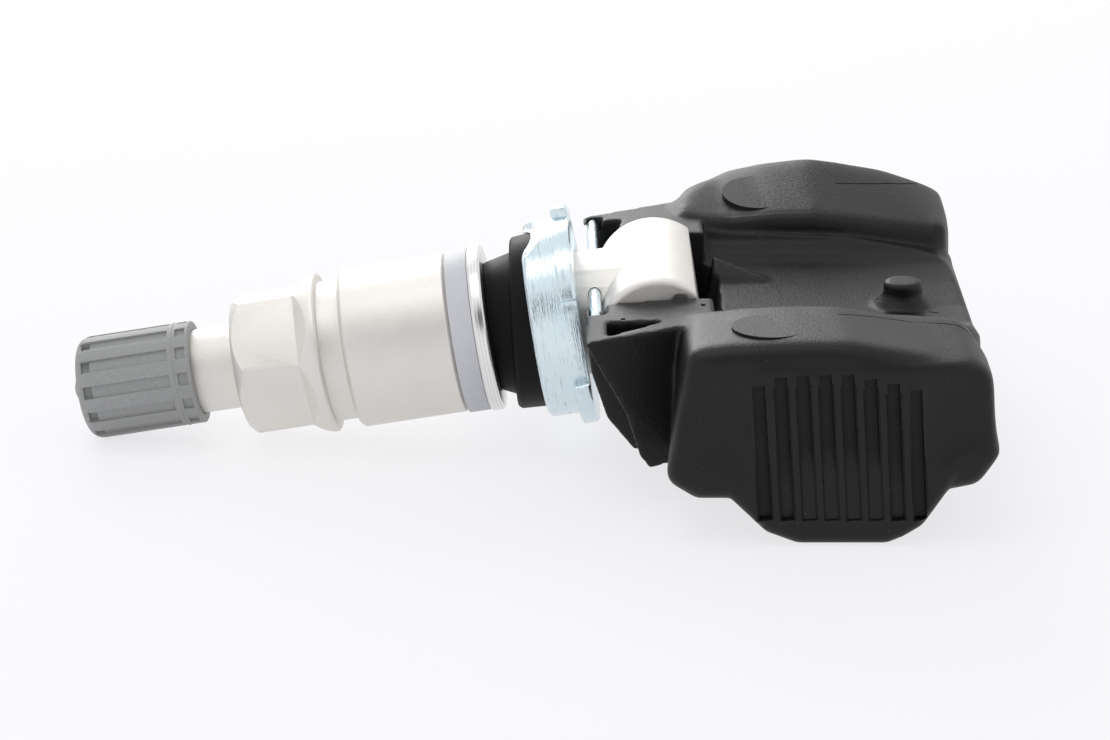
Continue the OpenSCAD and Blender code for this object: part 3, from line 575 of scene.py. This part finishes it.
for side in (-1, 1):
    profiles = [[(y, z - drop) for y, z in SLOT_TOP_MM] + foot
                for drop, foot in zip(SLOT_TOP_DROPS_MM, SLOT_FEET_MM)]
    combine(shell, solid(over_slots(side, SLOT_SHIFT_MM, SLOT_WIDTH_MM, profiles), "slots"), "DIFFERENCE")
    profiles = [[(CHAMFER_FROM_MM, 6.0 - drop), (CHAMFER_TO_MM, 6.3 - drop), (CHAMFER_TO_MM, -6.8),
                 (CHAMFER_FROM_MM, -6.3)] for drop in SLOT_TOP_DROPS_MM]
    flared = over_slots(side, SLOT_SHIFT_MM, CHAMFER_WIDTH_MM, profiles, CHAMFER_FLARE)
    combine(shell, solid(flared, "chamfers"), "DIFFERENCE")

# Ejector pins leave flat discs that stand a little proud where the lobe curves away from them.
feel = BVHTree.FromPolygons([v.co for v in shell.data.vertices], [p.vertices for p in shell.data.polygons])


def top_at(x_mm, y_mm):
    """The height of the housing's top, in mm from the pivot, over one place."""
    found = feel.ray_cast(from_pivot(x_mm, y_mm, 20), Vector((0, 0, -1)))[0]
    return (found - PIVOT).z / MM


for x, y in EJECTOR_MARKS_MM:
    near = top_at(x, y - EJECTOR_REACH * EJECTOR_RADIUS_MM) + EJECTOR_STEP_MM
    far = top_at(x, y + EJECTOR_REACH * EJECTOR_RADIUS_MM)
    slope = (far - near) / (2 * EJECTOR_REACH * EJECTOR_RADIUS_MM)
    disc = bmesh.new()
    bmesh.ops.create_cone(disc, cap_ends=True, segments=72, radius1=EJECTOR_RADIUS_MM * MM,
                          radius2=(EJECTOR_RADIUS_MM - EJECTOR_TAPER_MM) * MM, depth=MM)
    for vert in disc.verts:
        vert.co.z += vert.co.y * slope
    bmesh.ops.translate(disc, verts=disc.verts, vec=from_pivot(x, y, (near + far) / 2 - 0.5))
    combine(shell, solid(disc, "ejector"), "UNION")

# Fine scored lines run along the lobes towards the rear, and a few small nicks are left by the mould.
for radius, line in SCORES_MM:
    path = bpy.data.curves.new("score", "CURVE")
    path.dimensions = "3D"
    path.bevel_depth = radius * MM
    path.bevel_resolution = 2
    path.use_fill_caps = True
    track = path.splines.new("POLY")
    track.points.add(len(line) - 1)
    for point, (x, y) in zip(track.points, line):
        point.co = (*from_pivot(x, y, top_at(x, y) + SCORE_LIFT_MM), 1)
    rod = bpy.data.objects.new("score", path)
    bpy.context.collection.objects.link(rod)
    rod_mesh = bpy.data.meshes.new_from_object(rod.evaluated_get(bpy.context.evaluated_depsgraph_get()))
    bpy.data.objects.remove(rod)
    rod_work = bmesh.new()
    rod_work.from_mesh(rod_mesh)
    combine(shell, solid(rod_work, "score"), "DIFFERENCE")

housing_mesh = shell.data
bpy.data.objects.remove(shell)
for vert in housing_mesh.vertices:
    vert.co.y = min(max(vert.co.y, cad_box[0].y), cad_box[1].y)
smooth_shaded(housing_mesh, HOUSING_SHARP_FROM_DEGREES)

# Black glass-filled nylon: dull in front and greyer at a low angle. Its spark-eroded grain is drawn
# somewhat coarser than the real one, so that it shows.
nylon, place = new_material("black_glass_filled_nylon")
flow = add_node(nylon, "ShaderNodeTexNoise", {"Vector": place, "Scale": grain(NYLON_FLOW_MM), "Detail": 3.0})
pits = add_node(nylon, "ShaderNodeTexNoise", {
    "Vector": place, "Scale": grain(NYLON_SPARK_MM), "Detail": 3.0, "Roughness": 0.6})
dust = add_node(nylon, "ShaderNodeTexNoise", {"Vector": place, "Scale": grain(NYLON_DUST_MM), "Detail": 1.0})
tone = add_node(nylon, "ShaderNodeMix", {0: flow, 6: "#0A0A0C", 7: "#111113"}, data_type="RGBA")
speck = add_node(nylon, "ShaderNodeMapRange", {"Value": dust, "From Min": 0.77, "From Max": 0.82})
tone = add_node(nylon, "ShaderNodeMix", {0: speck, 6: tone, 7: "#3A3A3C"}, data_type="RGBA")
gloss = add_node(nylon, "ShaderNodeMapRange", {"Value": flow, "To Min": 0.4, "To Max": 0.48})
relief = add_node(nylon, "ShaderNodeBump", {"Height": pits, "Distance": 0.06 * MM, "Strength": 0.7})
surface = add_node(nylon, "ShaderNodeBsdfPrincipled", {
    "Base Color": tone, "Roughness": gloss, "Specular IOR Level": 0.3, "Normal": relief})
add_node(nylon, "ShaderNodeOutputMaterial", {"Surface": surface})

piece_from(housing_mesh, "moulded_housing", nylon, "housing", "black_nylon", "housing_shell")

# Underside cover
# A thin lid of the same nylon, pressed into the underside, with the port that lets the air in.
COVER_EDGE_MM = 0.1
LID_LIFT_MM = (-8.0, -8.6)
FOOT_WALL_FROM_MM = 13.7
FOOT_WALL_THICK_MM = 1
FOOT_WALL_MM = [(9.2, -7.8), (11.8, -12.2), (19.1, -12.2), (24.9, -7.8)]

# The lid is a bent plate, open beside its two feet. A wall is added there, so the board isn't seen.
lid = bpy.data.objects.new("lid", eased_copy("base_cover", COVER_EDGE_MM))
bpy.context.collection.objects.link(lid)
for side in (-1, 1):
    foot_wall = bmesh.new()
    outline = [from_pivot(x, side * FOOT_WALL_FROM_MM, z) for x, z in FOOT_WALL_MM]
    prism(foot_wall, outline, (0, side * FOOT_WALL_THICK_MM * MM, 0))
    combine(lid, solid(foot_wall, "foot_wall"), "UNION")
cover_mesh = lid.data
bpy.data.objects.remove(lid)
smooth_shaded(cover_mesh, SHARP_FROM_DEGREES)
lift_corner(cover_mesh.vertices, *LID_LIFT_MM)
piece_from(cover_mesh, "underside_cover", nylon, "housing", "black_nylon", "base_cover")

# Circuit board and its chips
# A glass-cloth epoxy board under green lacquer carries the pressure chip, the crystal and a capacitor.
# A porous white disc keeps water out of the port.
CLOTH_PITCH_MM = 0.5
FILLER_MM = 0.15
DRIP_MM = 0.9

# Epoxy board: green lacquer over a square weave of glass, which shows as a faint grid.
board, place = new_material("lacquered_epoxy_board")
cloth = {"Vector": place, "Scale": wave_scale(CLOTH_PITCH_MM)}
weft = add_node(board, "ShaderNodeTexWave", cloth, bands_direction="X")
warp = add_node(board, "ShaderNodeTexWave", cloth, bands_direction="Y")
weave = add_node(board, "ShaderNodeMath", {0: weft, 1: warp}, operation="MULTIPLY")
tone = add_node(board, "ShaderNodeMix", {0: weave, 6: "#17532F", 7: "#226B40"}, data_type="RGBA")
relief = add_node(board, "ShaderNodeBump", {"Height": weave, "Distance": 0.01 * MM, "Strength": 0.5})
surface = add_node(board, "ShaderNodeBsdfPrincipled", {
    "Base Color": tone, "Roughness": 0.35, "Normal": relief})
add_node(board, "ShaderNodeOutputMaterial", {"Surface": surface})

# Moulded epoxy: the charcoal body of a chip, dull, with small pale grains of its silica filler.
epoxy, place = new_material("moulded_chip_epoxy")
filler = add_node(epoxy, "ShaderNodeTexVoronoi", {"Vector": place, "Scale": grain(FILLER_MM)})
tone = add_node(epoxy, "ShaderNodeMix", {0: filler, 6: "#2E2F31", 7: "#1D1E20"}, data_type="RGBA")
relief = add_node(epoxy, "ShaderNodeBump", {"Height": filler, "Distance": 0.01 * MM, "Strength": 0.4})
surface = add_node(epoxy, "ShaderNodeBsdfPrincipled", {
    "Base Color": tone, "Roughness": 0.6, "Normal": relief})
add_node(epoxy, "ShaderNodeOutputMaterial", {"Surface": surface})

# Dipped resin: the mustard coat of a capacitor, glossy with slow waves from its dripping.
resin, place = new_material("dipped_capacitor_resin")
waves = add_node(resin, "ShaderNodeTexNoise", {"Vector": place, "Scale": grain(DRIP_MM), "Detail": 2.0})
tone = add_node(resin, "ShaderNodeMix", {0: waves, 6: "#B5822C", 7: "#CC9A3C"}, data_type="RGBA")
relief = add_node(resin, "ShaderNodeBump", {"Height": waves, "Distance": 0.05 * MM, "Strength": 0.4})
surface = add_node(resin, "ShaderNodeBsdfPrincipled", {
    "Base Color": tone, "Roughness": 0.25, "Normal": relief})
add_node(resin, "ShaderNodeOutputMaterial", {"Surface": surface})

dress("circuit_board", board)
dress("pressure_chip", epoxy)
dress("quartz_crystal", epoxy)
dress("buffer_capacitor", resin)
dress("port_filter", polymer)

# Cell and its tabs
# A lithium coin cell in a nickel-plated steel can, held between two tabs stamped from nickel strip.
ROLLING_LINE_MM = 0.08
ROLLING_LENGTH_MM = 2

# Nickel plate: warm white metal, drawn smooth, with thin rolling lines along the strip.
nickel, place = new_material("rolled_nickel_plate")
rolled = add_node(nickel, "ShaderNodeVectorMath", {0: place, 1: (
    grain(ROLLING_LENGTH_MM), grain(ROLLING_LINE_MM), grain(ROLLING_LENGTH_MM))}, operation="MULTIPLY")
lines = add_node(nickel, "ShaderNodeTexNoise", {"Vector": rolled, "Scale": 1.0, "Detail": 2.0})
tone = add_node(nickel, "ShaderNodeMix", {0: lines, 6: "#B9B6AE", 7: "#CFCCC4"}, data_type="RGBA")
gloss = add_node(nickel, "ShaderNodeMapRange", {"Value": lines, "To Min": 0.2, "To Max": 0.36})
surface = add_node(nickel, "ShaderNodeBsdfPrincipled", {
    "Base Color": tone, "Metallic": 1.0, "Roughness": gloss})
add_node(nickel, "ShaderNodeOutputMaterial", {"Surface": surface})

dress("coin_cell", nickel)
dress("cell_tab_lower", nickel)
dress("cell_tab_upper", nickel)

# Antenna and wake coil
# The transmitter's loop is bent from brass strip. The coil that wakes the sensor is enamelled copper
# wire on a ferrite core.
WIRE_PITCH_MM = 0.15
FERRITE_PIT_MM = 0.2

# Sintered ferrite: a dark grey ceramic, dull and finely pitted.
ferrite, place = new_material("sintered_ferrite")
pits = add_node(ferrite, "ShaderNodeTexNoise", {
    "Vector": place, "Scale": grain(FERRITE_PIT_MM), "Detail": 4.0})
tone = add_node(ferrite, "ShaderNodeMix", {0: pits, 6: "#26262A", 7: "#3B3B40"}, data_type="RGBA")
relief = add_node(ferrite, "ShaderNodeBump", {"Height": pits, "Distance": 0.02 * MM, "Strength": 0.6})
surface = add_node(ferrite, "ShaderNodeBsdfPrincipled", {
    "Base Color": tone, "Roughness": 0.7, "Normal": relief})
add_node(ferrite, "ShaderNodeOutputMaterial", {"Surface": surface})

# Enamelled copper wire: orange-brown turns side by side, glossy under their lacquer. Each turn is painted
# darker towards its edges, as painted shade in the grooves between the wires.
copper, place = new_material("enamelled_copper_wire")
turns = add_node(copper, "ShaderNodeTexWave", {
    "Vector": place, "Scale": wave_scale(WIRE_PITCH_MM), "Distortion": 0.2}, bands_direction="X")
# Painted shade: the colour darkens in the grooves between neighbouring turns.
tone = add_node(copper, "ShaderNodeMix", {0: turns, 6: "#7A3A1A", 7: "#C4713B"}, data_type="RGBA")
relief = add_node(copper, "ShaderNodeBump", {"Height": turns, "Distance": 0.04 * MM, "Strength": 0.8})
surface = add_node(copper, "ShaderNodeBsdfPrincipled", {
    "Base Color": tone, "Metallic": 0.8, "Roughness": 0.3, "Coat Weight": 0.6, "Normal": relief})
add_node(copper, "ShaderNodeOutputMaterial", {"Surface": surface})

dress("radio_antenna", brass)
dress("wake_coil_core", ferrite)
dress("wake_coil_winding", copper)

# Floor, room and lamps
# A matte white floor that keeps the part's shadow, in a white room with one dark gap over the camera.
# A broad lamp stands low behind the part and a weaker one hangs over it, both towards the cap.
FLOOR_REACH = 4
FLOOR_GLOW = 0.75
ROOM_FILL = 0.74
GAP_DIRECTION = (0, -0.819, 0.574)
GAP_LEVEL = 0.04

floor_work = bmesh.new()
bmesh.ops.create_grid(floor_work, x_segments=1, y_segments=1, size=FLOOR_REACH)
bmesh.ops.translate(floor_work, verts=floor_work.verts, vec=(0, 0, cad_box[0].z))
floor_mesh = bpy.data.meshes.new("floor")
floor_work.to_mesh(floor_mesh)
floor_work.free()
floor = bpy.data.objects.new("floor", floor_mesh)
bpy.context.collection.objects.link(floor)

# White floor paint: dull, and white to the camera and in reflections.
paint, place = new_material("white_floor_paint")
matte = add_node(paint, "ShaderNodeBsdfDiffuse", {"Color": "#F4F4F6"})
glow = add_node(paint, "ShaderNodeEmission", {"Color": "#FDFDFF"})
ray = add_node(paint, "ShaderNodeLightPath").outputs
seen = add_node(paint, "ShaderNodeMath", {0: ray["Is Camera Ray"], 1: ray["Is Glossy Ray"]},
                operation="MAXIMUM")
seen = add_node(paint, "ShaderNodeMath", {0: seen, 1: ray["Is Transmission Ray"]}, operation="MAXIMUM")
share = add_node(paint, "ShaderNodeMath", {0: seen, 1: FLOOR_GLOW}, operation="MULTIPLY")
surface = add_node(paint, "ShaderNodeMixShader", {0: share, 1: matte, 2: glow})
add_node(paint, "ShaderNodeOutputMaterial", {"Surface": surface})
floor_mesh.materials.append(paint)

room = bpy.data.worlds.new("white_room")
bpy.context.scene.world = room
room.use_nodes = True
room.node_tree.nodes.clear()
towards = add_node(room, "ShaderNodeTexCoord").outputs["Generated"]
nearness = add_node(room, "ShaderNodeVectorMath", {0: towards, 1: GAP_DIRECTION}, operation="DOT_PRODUCT")
mirrored = add_node(room, "ShaderNodeMapRange", {
    "Value": nearness, "From Min": 0.935, "From Max": 0.985, "To Min": 1.0, "To Max": GAP_LEVEL},
    interpolation_type="SMOOTHSTEP")
ray = add_node(room, "ShaderNodeLightPath").outputs
bounced = add_node(room, "ShaderNodeMath", {0: ray["Is Glossy Ray"], 1: ray["Is Transmission Ray"]},
                   operation="MAXIMUM")
level = add_node(room, "ShaderNodeMix", {0: bounced, 2: ROOM_FILL, 3: mirrored})
level = add_node(room, "ShaderNodeMix", {0: ray["Is Camera Ray"], 2: level, 3: 1.0})
sky = add_node(room, "ShaderNodeBackground", {"Color": "#FDFDFF", "Strength": level})
add_node(room, "ShaderNodeOutputWorld", {"Surface": sky})


def lamp(name, where_mm, width_mm, watts):
    """A round soft lamp that points at the rim seat."""
    made = bpy.data.objects.new(name, bpy.data.lights.new(name, "AREA"))
    made.data.shape = "DISK"
    made.data.size = width_mm * MM
    made.data.energy = watts
    made.location = Vector(where_mm) * MM
    made.rotation_euler = (-made.location).to_track_quat("-Z", "Y").to_euler()
    bpy.context.collection.objects.link(made)


lamp("back_lamp", where_mm=(-110, 440, 200), width_mm=320, watts=1.2)
lamp("top_lamp", where_mm=(-110, -60, 520), width_mm=260, watts=0.35)

bpy.context.scene.view_settings.view_transform = "Standard"
